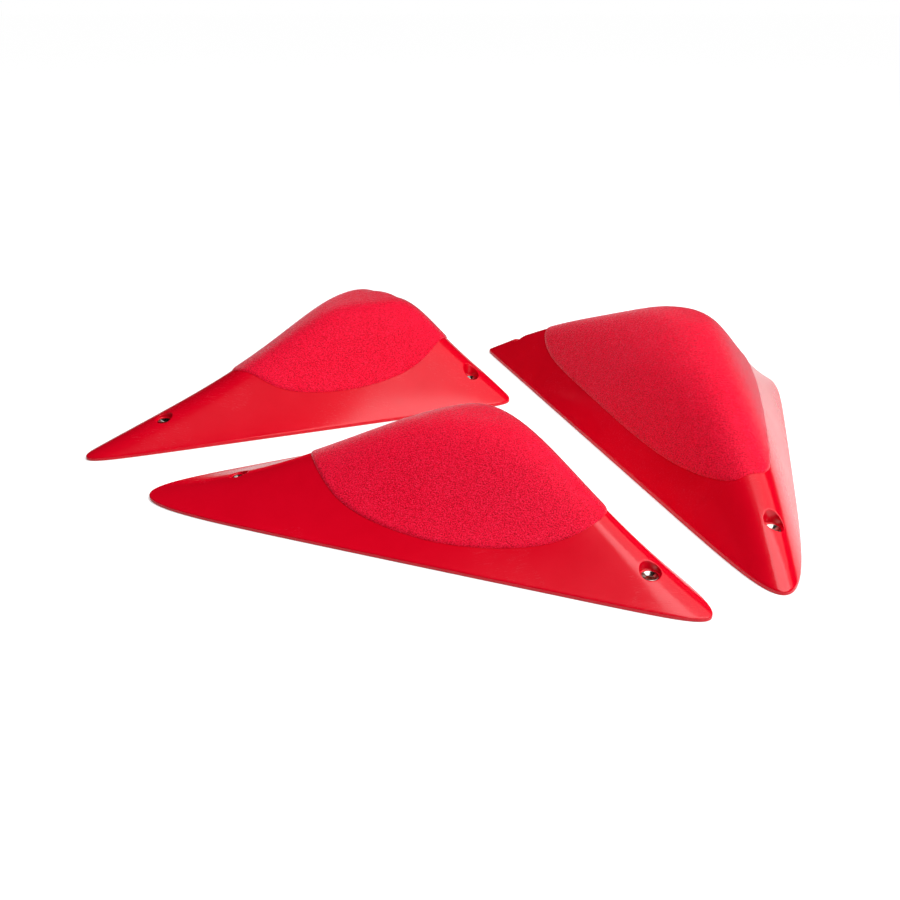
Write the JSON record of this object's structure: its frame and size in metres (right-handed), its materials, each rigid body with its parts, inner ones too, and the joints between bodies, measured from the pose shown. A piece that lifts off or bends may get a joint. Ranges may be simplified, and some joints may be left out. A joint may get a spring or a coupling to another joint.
{
  "type": "sloper climbing hold set",
  "caption": "Set of low, rounded triangular sloper holds: hollow glass-fibre shells with a gritty crown, glossy flanks and a recessed steel screw cup near each tip.",
  "frame": {"origin": "on the wall plane under the middle of the set of three holds as it lies in the picture", "axes": "+X to the right and +Y away from the viewer of the picture, +Z out of the wall, towards the climber"},
  "size_m": [0.6698, 0.5624, 0.1021],
  "materials": {
    "gelcoat": "smooth glossy red gelcoat over glass-fibre laminate",
    "grip_coat": "matt crimson sand-textured grip coat",
    "steel": "bright zinc-plated steel",
    "timber": "sawn birch plywood"
  },
  "bodies": {
    "root": {"left_hold_shell": "gelcoat", "left_hold_grip_coat": "grip_coat", "left_hold_cup_left_tip": "steel", "left_hold_cup_front_tip": "steel", "left_hold_cup_rear_tip": "steel", "left_hold_block_left_tip": "timber", "left_hold_block_front_tip": "timber", "left_hold_block_rear_tip": "timber", "front_hold_shell": "gelcoat", "front_hold_grip_coat": "grip_coat", "front_hold_cup_left_tip": "steel", "front_hold_cup_front_tip": "steel", "front_hold_cup_rear_tip": "steel", "front_hold_block_left_tip": "timber", "front_hold_block_front_tip": "timber", "front_hold_block_rear_tip": "timber", "right_hold_shell": "gelcoat", "right_hold_grip_coat": "grip_coat", "right_hold_cup_left_tip": "steel", "right_hold_cup_front_tip": "steel", "right_hold_cup_rear_tip": "steel", "right_hold_block_left_tip": "timber", "right_hold_block_front_tip": "timber", "right_hold_block_rear_tip": "timber"}
  },
  "joints": []
}
